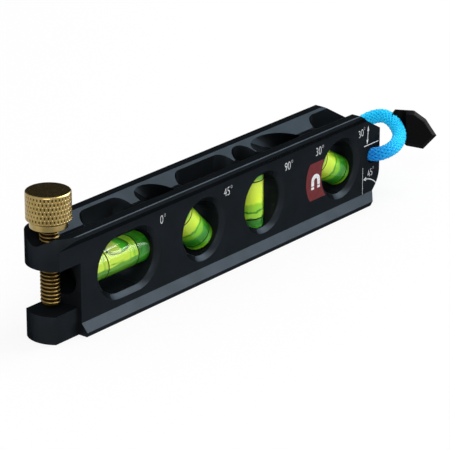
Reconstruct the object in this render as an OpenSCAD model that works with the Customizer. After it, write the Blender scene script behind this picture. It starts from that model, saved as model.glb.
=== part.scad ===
// Pocket spirit level with a screw clamp at one end, four tilt vials and a lanyard.
// +X runs along the level from the clamp's shoulder to the nose, +Z is up,
// and the origin is on the base, on the centre line, under the shoulder.

/* [Body] */
// Length from the clamp's shoulder to the end of the nose
body_len = 156.2; // [152:0.1:170]
// Overall width at the top and at the foot
body_w = 19.5; // [18:0.1:24]
// Overall height
body_h = 35; // [34:0.1:40]
// Thickness of the flat web between the two flanges
web_w = 14.8; // [13.5:0.1:16]
// Height of the upright edge of each flange
edge_h = 1.45; // [1:0.05:2]
// Height of the slope between a flange's edge and the web
flare_h = 2.75; // [2:0.05:3.2]
// Width of the V groove along the top
groove_w = 12.7; // [11:0.1:14]
// Depth of the V groove
groove_d = 3; // [2:0.1:3.5]
// Width of the flat at the bottom of the V groove
groove_root_w = 1.8; // [1:0.1:3]
// Width of the small break on the flanges' outer edges
edge_break = 0.25; // [0.1:0.05:0.4]

/* [Nose] */
// Length of the sloping top of the nose
nose_slope_len = 14.9; // [12:0.1:16]
// Angle of the nose's top below the level's top, in degrees
nose_angle = 30; // [20:1:34]
// Length and height of the 45 degree cut under the nose
chin = 8.1; // [6:0.1:9]
// Radius between the chin's cut and the nose's end
chin_r = 9; // [6:0.1:10]
// Radius of the lanyard hole
lanyard_r = 3; // [2.6:0.1:3.2]
// Distance of the lanyard hole's axis from the nose's end
lanyard_back = 4.2; // [4:0.1:4.6]
// Height of the lanyard hole's axis
lanyard_z = 17.5; // [17:0.1:18]

/* [Clamp] */
// Straight part of the clamp's ears before their round end
ear_straight = 3.05; // [2.5:0.05:5]
// Height of the lower ear
lower_ear_h = 9.25; // [8:0.05:10]
// Width of the lower ear
lower_ear_w = 12.3; // [11:0.1:14]
// Height of the clamp's gap
gap_h = 15.1; // [14.5:0.1:15.6]

/* [Thumb screw] */
// Distance of the screw's axis from the shoulder
screw_x = 6; // [5.6:0.1:6.4]
// Radius over the screw's thread
thread_r = 3.175; // [2.5:0.025:3.3]
// Radial clearance of the thread in its hole
thread_fit = 0.05; // [0.02:0.01:0.09]
// Height of the screw's tip above the lower ear, at rest
tip_gap = 1.8; // [1.6:0.05:2.5]
// Length of the screw below its head
shank_len = 25.7; // [25.7:0.1:28]
// Width of the chamfer round the screw's tip
tip_chamfer = 0.7; // [0.3:0.1:1]
// How far the screw can be turned down from rest
close_travel = 1.5; // [1:0.1:1.5]
// Radius of the head's neck
neck_r = 6.1; // [5:0.1:6.2]
// Height of the head's neck
neck_h = 2; // [1:0.1:3]
// Height of the cone between the neck and the grip
cone_h = 0.7; // [0.4:0.1:2]
// Radius over the knurled grip
grip_r = 7.3; // [6.6:0.1:8]
// Height of the knurled grip
grip_h = 9.1; // [8:0.1:12]
// Width of the break round the grip's edges
grip_break = 0.45; // [0.3:0.05:0.8]

/* [Windows] */
// Radius of the windows
window_r = 9.35; // [8.6:0.05:9.6]
// Height of the windows' centres
window_z = 17.5; // [17:0.1:18]
// Width of the chamfer round each window
window_chamfer = 1.5; // [0.8:0.1:1.8]
// Distance between the two round ends of the long window
long_window_span = 8.4; // [6:0.1:10]
// Place of the 0 degree vial's window
x_0 = 22.8; // [22.5:0.1:23.5]
// Place of the 45 degree vial's window
x_45 = 59.9; // [59:0.1:60.5]
// Place of the 90 degree vial's window
x_90 = 91.75; // [91.5:0.05:92]
// Place of the 30 degree vial's window
x_30 = 133.6; // [133.3:0.1:134.5]

/* [Top pockets] */
// Distance of the first pocket's middle from its window's, towards the clamp
first_pocket_shift = 0.65; // [0:0.05:1]
// Radius of the pockets' round ends
pocket_r = 5.3; // [4.8:0.1:5.4]
// Distance between the round ends of the pocket over the 0 degree vial
first_pocket_span = 12.5; // [10:0.1:13]
// Place of the middle pocket's first round end
middle_pocket_x = 62.3; // [62.1:0.1:63]
// Distance between the middle pocket's round ends
middle_pocket_span = 18; // [15:0.1:18.2]
// Height of solid metal left between a pocket's floor and a window
pocket_floor = 1.6; // [1.2:0.1:2.4]
// Place of the nose pocket's round end
nose_pocket_x = 134; // [133.5:0.1:136]

/* [Vials] */
// Outer radius of the vials
vial_r = 5.3; // [4.8:0.05:5.3]
// Radial clearance of the vials in their bores
vial_fit = 0.1; // [0.05:0.01:0.15]
// Thickness of a vial's wall
vial_wall = 1; // [0.8:0.1:1.4]
// Distance of the 0 degree vial's middle from its window's, towards the clamp
vial_0_shift = 0.3; // [0:0.1:0.5]
// Length of the 0 degree vial
len_0 = 28; // [28:0.1:30]
// Length of the 45 degree vial
len_45 = 20; // [19:0.1:22]
// Length of the 90 degree vial
len_90 = 22; // [21:0.1:23]
// Length of the 30 degree vial
len_30 = 20; // [19:0.1:22]
// Length of the 0 degree vial's chamber
chamber_0 = 17.8; // [15:0.1:19]
// Length of the chamber of each of the other vials
chamber_tilt = 16.4; // [14:0.1:16.6]
// Thickness of the closed end of the tilted vials
end_tilt = 1.6; // [1.2:0.1:2]
// Thickness of the closed end of the upright vial
end_90 = 3.5; // [3:0.1:4]
// Depth of the 45 degree vial's seat below its window's centre, along the vial
seat_45 = 9.4; // [9:0.1:10]
// Depth of the 30 degree vial's seat below its window's centre, along the vial
seat_30 = 9.8; // [9:0.1:10]
// Height of the upright vial's seat above the base
seat_90 = 6.2; // [6:0.1:7]
// Radius of the air bubbles
bubble_r = 2.5; // [2:0.1:2.8]
// Length of the long bubble in the 0 degree vial
bubble_len = 8; // [6:0.1:10]
// Depth of the flat where a bubble is pressed against its chamber's wall
bubble_flat = 0.3; // [0.1:0.1:0.6]

/* [Magnets] */
// Radius of the magnets in the base
magnet_r = 5; // [4:0.1:6]
// Thickness of the magnets
magnet_h = 3; // [2:0.1:3.2]
// Depth of the magnets' faces inside the base
magnet_sink = 0.1; // [0.05:0.05:0.3]
// Radial clearance of the magnets in their pockets
magnet_fit = 0.1; // [0.05:0.01:0.15]

/* [Lanyard] */
// Radius of the lanyard's cord
cord_r = 2.4; // [2:0.05:2.5]
// Thickness of the lanyard's tag
tag_t = 6.4; // [5.6:0.1:8]
// Width of the bevel round the tag's faces
tag_bevel = 1.3; // [0.8:0.1:1.6]
// Radial clearance of the cord in the tag
cord_fit = 0.1; // [0.05:0.05:0.3]

/* [Hidden] */
$fn = 96;

half_w = body_w / 2;
half_web = web_w / 2;
ear_r = half_w;
ear_reach = ear_straight + ear_r;
gap_top = lower_ear_h + gap_h;
groove_z = body_h - groove_d;
nose_x = body_len - nose_slope_len;
nose_drop = nose_slope_len * tan(nose_angle);
hole_x = body_len - lanyard_back;
over = 1;
cut = body_w + 2 * over;

bore_r = vial_r + vial_fit;
chamber_r = vial_r - vial_wall;
inner_fit = 0.03;
vial_45_tilt = 45;
vial_30_tilt = 30;
floor_z = window_z + window_r + pocket_floor;
magnet_places = [(x_0 + x_45) / 2, (x_45 + x_90) / 2, (x_90 + x_30) / 2];

// The screw stands out at least so far that its head clears the upper ear when it is turned down
head_fit = 0.05;
tip_z = max(lower_ear_h + tip_gap, body_h + close_travel + head_fit - shank_len);
neck_z = tip_z + shank_len;
cone_z = neck_z + neck_h;
grip_z = cone_z + cone_h;
top_z = grip_z + grip_h;

// Half of the body's section, from the middle of the base to the groove's root
section_half = [
    [0, 0], [half_w - edge_break, 0], [half_w, edge_break], [half_w, edge_h],
    [half_web, edge_h + flare_h], [half_web, body_h - edge_h - flare_h],
    [half_w, body_h - edge_h], [half_w, body_h - edge_break],
    [half_w - edge_break, body_h],
    [groove_w / 2, body_h], [groove_root_w / 2, groove_z], [0, groove_z]
];

module section() {
    polygon(section_half);
    mirror([1, 0]) polygon(section_half);
}

// Side view of the body without its lower ear
module side_outline() {
    chin_x = body_len - chin_r;
    chin_z = chin + (sqrt(2) - 1) * chin_r;
    arc = chin_r / sqrt(2);
    polygon([
        [0, 0], [body_len - chin, 0], [chin_x + arc, chin_z - arc], [body_len, chin_z],
        [body_len, body_h - nose_drop], [nose_x, body_h],
        [-ear_reach, body_h], [-ear_reach, gap_top], [0, gap_top]
    ]);
    translate([chin_x, chin_z]) circle(chin_r);
}

module plan_outline() {
    translate([-ear_straight, 0]) circle(ear_r);
    translate([-ear_straight, -half_w]) square([body_len + ear_straight, body_w]);
}

module bar() {
    intersection() {
        translate([-ear_reach, 0, 0])
            rotate([90, 0, 90]) linear_extrude(body_len + ear_reach) section();
        translate([0, cut / 2, 0])
            rotate([90, 0, 0]) linear_extrude(cut) side_outline();
        linear_extrude(body_h) plan_outline();
    }
}

module lower_ear() {
    linear_extrude(lower_ear_h) intersection() {
        translate([-ear_straight, 0]) union() {
            circle(ear_r);
            square([2 * (ear_straight + over), body_w], center = true);
        }
        translate([-ear_reach, -lower_ear_w / 2]) square([ear_reach + over, lower_ear_w]);
    }
}

// A round or long window through the web, with a chamfer on both faces
module window(x, span = 0) {
    big = window_r + window_chamfer;
    for (side = [-1, 1]) translate([x + side * span / 2, 0, window_z]) rotate([90, 0, 0]) {
        cylinder(r = window_r, h = cut, center = true);
        for (flip = [0, 1]) mirror([0, 0, flip])
            translate([0, 0, half_web - window_chamfer])
                cylinder(r1 = window_r, r2 = big, h = window_chamfer);
    }
    if (span > 0) translate([x - span / 2, 0, window_z]) rotate([90, 0, 90]) linear_extrude(span)
        for (flip = [0, 1]) mirror([flip, 0]) polygon([
            [0, -window_r], [half_web - window_chamfer, -window_r], [half_web, -big],
            [half_web, big], [half_web - window_chamfer, window_r], [0, window_r]
        ]);
}

// An upright pocket with two round ends, from the level z to above the top
module pocket(x, span, z) {
    for (end = [x, x + span]) translate([end, 0, z]) cylinder(r = pocket_r, h = body_h);
    translate([x, -pocket_r, z]) cube([span, 2 * pocket_r, body_h]);
}

// Places its children on a vial's axis: z = 0 is the seat of the vial's lower end
module at_0() translate([x_0 + len_0 / 2 - vial_0_shift, 0, window_z]) rotate([0, -90, 0]) children();
module at_45() translate([x_45, 0, window_z]) rotate([0, -vial_45_tilt, 0])
    translate([0, 0, -seat_45]) children();
module at_90() translate([x_90, 0, seat_90]) children();
module at_30() translate([x_30, 0, window_z]) rotate([0, vial_30_tilt - 90, 0])
    translate([0, 0, -seat_30]) children();

module bore(length) cylinder(r = bore_r, h = length);

module body() {
    color("#1c1f22") difference() {
        union() {
            bar();
            lower_ear();
        }
        window(x_0, long_window_span);
        window(x_45);
        window(x_90);
        window(x_30);
        at_0() bore(x_0 + len_0 / 2);
        at_45() bore(2 * body_h);
        at_90() bore(body_h);
        at_30() bore(2.4 * body_h);
        pocket(x_0 - first_pocket_shift - first_pocket_span / 2, first_pocket_span, window_z);
        pocket(middle_pocket_x, middle_pocket_span, floor_z);
        pocket(nose_pocket_x, body_len, floor_z);
        translate([-screw_x, 0, gap_top - over]) cylinder(r = thread_r + thread_fit, h = body_h);
        translate([hole_x, 0, lanyard_z]) rotate([90, 0, 0])
            cylinder(r = lanyard_r, h = cut, center = true);
        for (x = magnet_places) translate([x, 0, -over])
            cylinder(r = magnet_r + magnet_fit, h = over + magnet_sink + magnet_h);
    }
}

// One turned piece: threaded shank, neck, cone and grip
module thumb_screw() {
    color("#b8a56a") translate([-screw_x, 0, 0]) rotate_extrude() polygon([
        [0, tip_z], [thread_r - tip_chamfer, tip_z], [thread_r, tip_z + tip_chamfer],
        [thread_r, neck_z],
        [neck_r, neck_z], [neck_r, cone_z], [grip_r, grip_z],
        [grip_r, top_z - grip_break], [grip_r - grip_break, top_z], [0, top_z]
    ]);
}

// A clear barrel, closed at its lower end
module barrel(length, end) {
    color("#c8e050") difference() {
        cylinder(r = vial_r, h = length);
        translate([0, 0, end]) cylinder(r = chamber_r, h = length);
    }
}

// The plug that closes the barrel above its chamber
module plug(length, end, chamber) {
    color("#0f6a20") translate([0, 0, end + chamber])
        cylinder(r = chamber_r - inner_fit, h = length - end - chamber);
}

module chamber(end, chamber) {
    translate([0, 0, end]) cylinder(r = chamber_r - inner_fit, h = chamber);
}

// The round end bubble of a vial that isn't level: it lies against the wall and the plug
module end_bubble(end, chamber, lean, r) {
    off = lean * (chamber_r - inner_fit - bubble_r + bubble_flat);
    translate([off, 0, end + chamber - bubble_r + bubble_flat]) sphere(r);
}

// The long bubble of the level vial, along the middle of its upper wall
module long_bubble(end, chamber, r) {
    reach = bubble_len / 2 - bubble_r;
    translate([chamber_r - inner_fit - bubble_r + bubble_flat, 0, end + chamber / 2]) {
        translate([0, 0, -reach]) cylinder(r = r, h = 2 * reach);
        for (side = [-1, 1]) translate([0, 0, side * reach]) sphere(r);
    }
}

end_0 = (len_0 - chamber_0) / 2;
small_r = bubble_r - inner_fit;

module vial_0_barrel() at_0() barrel(len_0, end_0);
module vial_0_plug() at_0() plug(len_0, end_0, chamber_0);
module vial_0_fluid() color("#b8e030") at_0() difference() {
    chamber(end_0, chamber_0);
    long_bubble(end_0, chamber_0, bubble_r);
}
module vial_0_bubble() color("#f4ffd0") at_0() intersection() {
    chamber(end_0, chamber_0);
    long_bubble(end_0, chamber_0, small_r);
}

module vial_45_barrel() at_45() barrel(len_45, end_tilt);
module vial_45_plug() at_45() plug(len_45, end_tilt, chamber_tilt);
module vial_45_fluid() color("#b8e030") at_45() difference() {
    chamber(end_tilt, chamber_tilt);
    end_bubble(end_tilt, chamber_tilt, 1, bubble_r);
}
module vial_45_bubble() color("#f4ffd0") at_45() intersection() {
    chamber(end_tilt, chamber_tilt);
    end_bubble(end_tilt, chamber_tilt, 1, small_r);
}

module vial_90_barrel() at_90() barrel(len_90, end_90);
module vial_90_plug() at_90() plug(len_90, end_90, chamber_tilt);
module vial_90_fluid() color("#b8e030") at_90() difference() {
    chamber(end_90, chamber_tilt);
    end_bubble(end_90, chamber_tilt, 0, bubble_r);
}
module vial_90_bubble() color("#f4ffd0") at_90() intersection() {
    chamber(end_90, chamber_tilt);
    end_bubble(end_90, chamber_tilt, 0, small_r);
}

module vial_30_barrel() at_30() barrel(len_30, end_tilt);
module vial_30_plug() at_30() plug(len_30, end_tilt, chamber_tilt);
module vial_30_fluid() color("#b8e030") at_30() difference() {
    chamber(end_tilt, chamber_tilt);
    end_bubble(end_tilt, chamber_tilt, 1, bubble_r);
}
module vial_30_bubble() color("#f4ffd0") at_30() intersection() {
    chamber(end_tilt, chamber_tilt);
    end_bubble(end_tilt, chamber_tilt, 1, small_r);
}

module magnets() {
    color("#9aa0a4") for (x = magnet_places) translate([x, 0, magnet_sink])
        cylinder(r = magnet_r, h = magnet_h);
}

// The cord's loop: through the lanyard hole, round the nose's end and back
cord_points = [
    [152.1, 6, 17.5], [152.1, 2, 17.5], [152.1, -2, 17.5], [152.1, -6, 17.5],
    [152.8, -9.1, 17.9], [155.4, -11, 18.6], [159.9, -10.9, 19.1], [165.6, -8.7, 19.7],
    [170.2, -5.2, 20.7], [172.9, -0.3, 22.2], [173, 5.1, 22.5], [169.9, 8.7, 20.8],
    [164.9, 11, 18.8], [158.5, 11.8, 17.8], [154, 10, 17.6]
];
cord_sides = 10;
cord_steps = 4;

function wrap(i) = cord_points[(i + len(cord_points)) % len(cord_points)];
function blend(a, b, c, d, t) = 0.5 * (2 * b + t * (c - a)
    + t * t * (2 * a - 5 * b + 4 * c - d) + t * t * t * (3 * b - a - 3 * c + d));
function unit(v) = v / norm(v);

cord_path = [for (i = [0 : len(cord_points) - 1]) for (k = [0 : cord_steps - 1])
    blend(wrap(i - 1), wrap(i), wrap(i + 1), wrap(i + 2), k / cord_steps)];

function cord_ring(i) = let(
        n = len(cord_path),
        along = unit(cord_path[(i + 1) % n] - cord_path[(i + n - 1) % n]),
        side = unit(cross([0, 0, 1], along)),
        up = cross(along, side)
    ) [for (k = [0 : cord_sides - 1]) cord_path[i]
        + cord_r * (cos(360 * k / cord_sides) * side + sin(360 * k / cord_sides) * up)];

module lanyard_cord() {
    n = len(cord_path);
    rings = [for (i = [0 : n - 1]) each cord_ring(i)];
    faces = [for (i = [0 : n - 1]) for (k = [0 : cord_sides - 1]) let(
            j = (i + 1) % n,
            m = (k + 1) % cord_sides
        ) [i * cord_sides + k, j * cord_sides + k, j * cord_sides + m, i * cord_sides + m]];
    color("#1e90d8") polyhedron(rings, faces);
}

// The tag: a bevelled plate clipped over the loop's outer bend
tag_place = [175.1, -7.8, 20.9];
tag_turn = [75, 0, -48];
tag_outline = [
    [-5.9, 6.8], [0.8, 6.3], [4.7, 3.4], [8.4, -2.4], [3.6, -7.1], [-2.3, -5.9], [-7, -0.9], [-7.2, 5.2]
];
cord_in_tag = [-5, 0, 2.6];

module tag_plate(h, inset) linear_extrude(h, center = true) offset(delta = -inset) polygon(tag_outline);

module cord_tag() {
    color("#121212") translate(tag_place) rotate(tag_turn) difference() {
        hull() {
            tag_plate(tag_t, tag_bevel);
            tag_plate(tag_t - 2 * tag_bevel, 0);
        }
        translate(cord_in_tag) rotate([90, 0, 0]) cylinder(r = cord_r + cord_fit, h = body_w, center = true);
    }
}

body();
thumb_screw();
vial_0_barrel();
vial_0_plug();
vial_0_fluid();
vial_0_bubble();
vial_45_barrel();
vial_45_plug();
vial_45_fluid();
vial_45_bubble();
vial_90_barrel();
vial_90_plug();
vial_90_fluid();
vial_90_bubble();
vial_30_barrel();
vial_30_plug();
vial_30_fluid();
vial_30_bubble();
magnets();
lanyard_cord();
cord_tag();
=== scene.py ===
import math

import bmesh
import bpy
from mathutils import Matrix, Vector


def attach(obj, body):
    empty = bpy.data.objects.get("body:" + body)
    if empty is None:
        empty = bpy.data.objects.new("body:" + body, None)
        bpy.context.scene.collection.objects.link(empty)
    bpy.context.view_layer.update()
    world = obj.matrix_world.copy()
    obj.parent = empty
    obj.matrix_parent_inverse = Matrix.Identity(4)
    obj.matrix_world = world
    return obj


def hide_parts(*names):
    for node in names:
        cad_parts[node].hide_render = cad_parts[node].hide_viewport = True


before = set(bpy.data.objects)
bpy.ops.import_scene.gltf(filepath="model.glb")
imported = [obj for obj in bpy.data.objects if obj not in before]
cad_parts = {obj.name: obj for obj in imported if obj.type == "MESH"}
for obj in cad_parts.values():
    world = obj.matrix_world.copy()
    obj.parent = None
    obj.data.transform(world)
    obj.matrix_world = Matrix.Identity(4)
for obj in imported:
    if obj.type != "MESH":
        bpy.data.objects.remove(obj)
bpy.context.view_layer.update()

# Camera: a long lens, low and to the left of the clamp, as in the photograph.
# It looks at a point a little above the base, halfway along the metal bar.
MM = 0.001
look_at = Vector((79.8, 0, 11.17)) * MM
camera_azimuth = math.radians(-50.89)
camera_elevation = math.radians(21.23)
camera_distance = 952.1 * MM
back = Vector((
    math.sin(camera_azimuth) * math.cos(camera_elevation),
    -math.cos(camera_azimuth) * math.cos(camera_elevation),
    math.sin(camera_elevation),
))
camera = bpy.data.objects.new("camera", bpy.data.cameras.new("camera"))
bpy.context.collection.objects.link(camera)
camera.data.sensor_width = 36
camera.data.lens = 229.33
camera.data.clip_start = 0.05
camera.data.clip_end = 30
camera.location = look_at + back * camera_distance
camera.rotation_mode = "QUATERNION"
camera.rotation_quaternion = (-back).to_track_quat("-Z", "Y")
bpy.context.scene.camera = camera


# Lanyard cord: a braided polyester sleeve over a core, sky blue, in one short stiff loop.
# It runs through the nose's cross hole and round the end of the bar; the weave is real strands.
def linear(code, alpha=1.0):
    """An sRGB hex colour as linear values."""
    parts = [int(code[i:i + 2], 16) / 255 for i in (1, 3, 5)]
    return [p / 12.92 if p <= 0.04045 else ((p + 0.055) / 1.055) ** 2.4 for p in parts] + [alpha]


def add(tree, kind, inputs=None, **settings):
    """Adds a node with its settings, and fills or links its sockets; a node means its first output."""
    made = tree.nodes.new(kind)
    for key, value in settings.items():
        setattr(made, key, value)
    for key, value in (inputs or {}).items():
        if isinstance(value, bpy.types.Node):
            value = value.outputs[0]
        if isinstance(value, bpy.types.NodeSocket):
            tree.links.new(value, made.inputs[key])
        else:
            made.inputs[key].default_value = value
    return made


def new_material(name, **sockets):
    """A material with one main shader; returns it with its tree and the shader."""
    mat = bpy.data.materials.new(name)
    mat.use_nodes = True
    tree = mat.node_tree
    tree.nodes.clear()
    shader = add(tree, "ShaderNodeBsdfPrincipled", {k.replace("_", " "): v for k, v in sockets.items()})
    add(tree, "ShaderNodeOutputMaterial", {"Surface": shader})
    return mat, tree, shader


def new_piece(name, mesh, mat, body, slot, *replaced):
    """Puts a finished mesh in the scene as a piece of the object."""
    piece = bpy.data.objects.new(name, mesh)
    bpy.context.collection.objects.link(piece)
    mesh.materials.clear()
    mesh.materials.append(mat)
    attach(piece, body)
    if replaced:
        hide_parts(*replaced)
    return piece


def hosted(source):
    """A passing object that carries a curve or a mesh while it is made."""
    host = bpy.data.objects.new("host", source)
    bpy.context.collection.objects.link(host)
    return host


def plain_mesh(host):
    """What a curve, or a mesh with its modifiers, comes to as a plain mesh; its object is removed."""
    mesh = bpy.data.meshes.new_from_object(host.evaluated_get(bpy.context.evaluated_depsgraph_get()))
    host.modifiers.clear()
    bpy.data.objects.remove(host)
    return mesh


def run_tree(tree, source, values):
    """Runs a node tree on a mesh or curve and returns the result as a plain mesh."""
    host = hosted(source)
    modifier = host.modifiers.new("make", "NODES")
    modifier.node_group = tree
    for item in tree.interface.items_tree:
        if item.in_out == "INPUT" and item.name in values:
            modifier[item.identifier] = values[item.name]
    return plain_mesh(host)


def new_tree(name, inputs):
    """An empty geometry tree with named inputs; returns it with its input and output nodes."""
    tree = bpy.data.node_groups.new(name, "GeometryNodeTree")
    tree.interface.new_socket("Geometry", in_out="INPUT", socket_type="NodeSocketGeometry")
    for key, (kind, value) in inputs.items():
        socket = tree.interface.new_socket(key, in_out="INPUT", socket_type="NodeSocket" + kind)
        if value is not None:
            socket.default_value = value
    tree.interface.new_socket("Geometry", in_out="OUTPUT", socket_type="NodeSocketGeometry")
    return tree, tree.nodes.new("NodeGroupInput"), tree.nodes.new("NodeGroupOutput")


def end_tree(tree, given, out, made):
    """Makes a tree's copies real, gives them its material and leads them to its output."""
    real = add(tree, "GeometryNodeRealizeInstances", {"Geometry": made})
    done = add(tree, "GeometryNodeSetMaterial", {"Geometry": real, "Material": given.outputs["Material"]})
    tree.links.new(done.outputs["Geometry"], out.inputs["Geometry"])
    return tree


def join(name, meshes):
    """Several meshes as one."""
    whole = bmesh.new()
    for mesh in meshes:
        whole.from_mesh(mesh)
    out = bpy.data.meshes.new(name)
    whole.to_mesh(out)
    whole.free()
    return out


cord_radius = 2.4 * MM
cord_points = [Vector(p) * MM for p in [
    (152.1, -2, 17.5), (152.1, -6, 17.5), (152.8, -9.1, 17.9), (155.4, -11, 18.6), (159.9, -10.9, 19.1),
    (165.4, -8.9, 19.7), (169.1, -6.2, 21.2), (170.9, -2.4, 23.4), (171.1, 2.0, 24.6), (169.0, 6.6, 23.2),
    (165.0, 10.5, 19.9), (158.8, 11.8, 18.0), (154, 10, 17.6), (152.1, 6, 17.5), (152.1, 2, 17.5),
]]
strands_each_way = 10
strand_lay = 17 * MM
strand_radius = 0.43 * MM
strand_steps = 360
# How far a strand rises and sinks as it crosses the others, as a share of its radius
strand_rise = 0.45


def smooth_path(points, steps):
    """A smooth curve that passes through each point."""
    ends = [2 * points[0] - points[1]] + points + [2 * points[-1] - points[-2]]
    out = []
    for i in range(1, len(ends) - 2):
        a, b, c, d = ends[i - 1:i + 3]
        for k in range(steps):
            t = k / steps
            out.append(0.5 * (2 * b + t * (c - a) + t * t * (2 * a - 5 * b + 4 * c - d)
                              + t * t * t * (3 * b - a - 3 * c + d)))
    return out + [points[-1]]


def route_curve(path):
    """A curve that runs straight from point to point."""
    curve = bpy.data.curves.new("route", "CURVE")
    curve.dimensions = "3D"
    spline = curve.splines.new("POLY")
    spline.points.add(len(path) - 1)
    for point, place in zip(spline.points, path):
        point.co = (*place, 1)
    return curve


def braid_tree():
    """Strands that wind both ways round the route, each going over and under the others."""
    tree, given, out = new_tree("braid", {
        "Strands": ("Int", 24), "Lay": ("Float", 0.015), "Radius": ("Float", 0.002),
        "Strand": ("Float", 0.0004), "Steps": ("Int", 300), "Material": ("Material", None),
    })
    even = add(tree, "GeometryNodeResampleCurve", {"Curve": given.outputs["Geometry"],
                                                   "Count": given.outputs["Steps"]})
    along = add(tree, "GeometryNodeSplineParameter")
    kept = add(tree, "GeometryNodeCaptureAttribute", {"Geometry": even})
    kept.capture_items.new("FLOAT", "Length")
    kept.capture_items.new("VECTOR", "Normal")
    kept.capture_items.new("VECTOR", "Tangent")
    tree.links.new(along.outputs["Length"], kept.inputs["Length"])
    tree.links.new(add(tree, "GeometryNodeInputNormal").outputs["Normal"], kept.inputs["Normal"])
    tree.links.new(add(tree, "GeometryNodeInputTangent").outputs["Tangent"], kept.inputs["Tangent"])
    copies = add(tree, "GeometryNodeDuplicateElements", {"Geometry": kept,
                                                         "Amount": given.outputs["Strands"]}, domain="SPLINE")

    number = copies.outputs["Duplicate Index"]
    odd = add(tree, "ShaderNodeMath", {0: number, 1: 2.0}, operation="MODULO")
    way = add(tree, "ShaderNodeMath", {0: odd, 1: 2.0, 2: -1.0}, operation="MULTIPLY_ADD")
    half = add(tree, "ShaderNodeMath", {0: number, 1: 2.0}, operation="DIVIDE")
    pair = add(tree, "ShaderNodeMath", {0: half}, operation="FLOOR")
    share = add(tree, "ShaderNodeMath", {0: pair, 1: given.outputs["Strands"]}, operation="DIVIDE")
    start = add(tree, "ShaderNodeMath", {0: share, 1: 4 * math.pi}, operation="MULTIPLY")
    turns = add(tree, "ShaderNodeMath", {0: kept.outputs["Length"], 1: given.outputs["Lay"]},
                operation="DIVIDE")
    turned_by = add(tree, "ShaderNodeMath", {0: turns, 1: 2 * math.pi}, operation="MULTIPLY")
    angle = add(tree, "ShaderNodeMath", {0: turned_by, 1: way, 2: start}, operation="MULTIPLY_ADD")
    # Strands of the two ways meet at every half turn of this wave, one on its crest and one in its hollow
    crossing = add(tree, "ShaderNodeMath", {0: turns, 1: given.outputs["Strands"]}, operation="MULTIPLY")
    wave = add(tree, "ShaderNodeMath", {0: crossing, 1: math.pi}, operation="MULTIPLY")
    crest = add(tree, "ShaderNodeMath", {0: wave}, operation="COSINE")
    side = add(tree, "ShaderNodeMath", {0: crest, 1: way}, operation="MULTIPLY")
    rise = add(tree, "ShaderNodeMath", {0: side, 1: strand_rise}, operation="MULTIPLY")
    reach = add(tree, "ShaderNodeMath", {0: rise, 1: given.outputs["Strand"], 2: given.outputs["Radius"]},
                operation="MULTIPLY_ADD")
    round_it = [add(tree, "ShaderNodeMath", {0: angle}, operation=kind) for kind in ("COSINE", "SINE")]
    east, north = [add(tree, "ShaderNodeMath", {0: part, 1: reach}, operation="MULTIPLY")
                   for part in round_it]
    across = add(tree, "ShaderNodeVectorMath", {0: kept.outputs["Tangent"], 1: kept.outputs["Normal"]},
                 operation="CROSS_PRODUCT")
    one = add(tree, "ShaderNodeVectorMath", {0: kept.outputs["Normal"], "Scale": east}, operation="SCALE")
    two = add(tree, "ShaderNodeVectorMath", {0: across, "Scale": north}, operation="SCALE")
    both = add(tree, "ShaderNodeVectorMath", {0: one, 1: two})
    moved = add(tree, "GeometryNodeSetPosition", {"Geometry": copies,
                                                  "Offset": both})
    ring = add(tree, "GeometryNodeCurvePrimitiveCircle", {"Resolution": 5, "Radius": given.outputs["Strand"]})
    tube = add(tree, "GeometryNodeCurveToMesh", {"Curve": moved,
                                                 "Profile Curve": ring, "Fill Caps": True})
    return end_tree(tree, given, out, tube)


def mottled(tree, spots_per_mm, detail, low, high, start=0.0, end=1.0):
    """The colour of a skin in soft spots of two shades, which lie fixed on the piece."""
    coords = add(tree, "ShaderNodeTexCoord")
    spots = add(tree, "ShaderNodeTexNoise", {"Vector": coords.outputs["Object"], "Scale": spots_per_mm / MM,
                                             "Detail": detail})
    shades = add(tree, "ShaderNodeValToRGB", {"Fac": spots})
    first, last = shades.color_ramp.elements
    first.position, last.position = start, end
    first.color, last.color = linear(low), linear(high)
    return shades.outputs["Color"]


polyester, tree, shader = new_material("dyed polyester braid", Roughness=0.7, Specular_IOR_Level=0.2,
                                       Sheen_Weight=0.1, Sheen_Roughness=0.4)
# Filaments of about a tenth of a millimetre catch the light unevenly, drawn half a millimetre wide to show
dye = mottled(tree, 1.4, 1.0, "#0aaef2", "#20dcff", 0.2, 0.8)
# The first few millimetres from the hole are painted deeper in colour, as painted shade where the body shades
# the cord
hole_mouth = Vector((152, -7, 17)) * MM
coords = add(tree, "ShaderNodeTexCoord")
away = add(tree, "ShaderNodeVectorMath", {0: coords.outputs["Object"], 1: hole_mouth}, operation="DISTANCE")
shade_and_wear = add(tree, "ShaderNodeMapRange", {"Value": away.outputs["Value"], "From Min": 3 * MM,
                                        "From Max": 11 * MM, "To Min": 0.85, "To Max": 0.0})
dye_and_shade = add(tree, "ShaderNodeMix", {0: shade_and_wear, 6: dye, 7: linear("#0a74cc")}, data_type="RGBA")
tree.links.new(dye_and_shade.outputs[2], shader.inputs["Base Color"])

core_curve = route_curve(smooth_path(cord_points, 8))
core_curve.bevel_depth = cord_radius - 2.2 * strand_radius
core_curve.bevel_resolution = 4
core_curve.use_fill_caps = True
core_mesh = plain_mesh(hosted(core_curve))
braid_mesh = run_tree(braid_tree(), route_curve(smooth_path(cord_points, 8)), {
    "Strands": 2 * strands_each_way, "Lay": strand_lay, "Radius": cord_radius - 1.1 * strand_radius,
    "Strand": strand_radius, "Steps": strand_steps, "Material": polyester,
})
cord = new_piece("lanyard_braid", join("lanyard_braid", [core_mesh, braid_mesh]), polyester,
                 "level", "cord", "lanyard_cord")
cord.data.shade_smooth()
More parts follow.
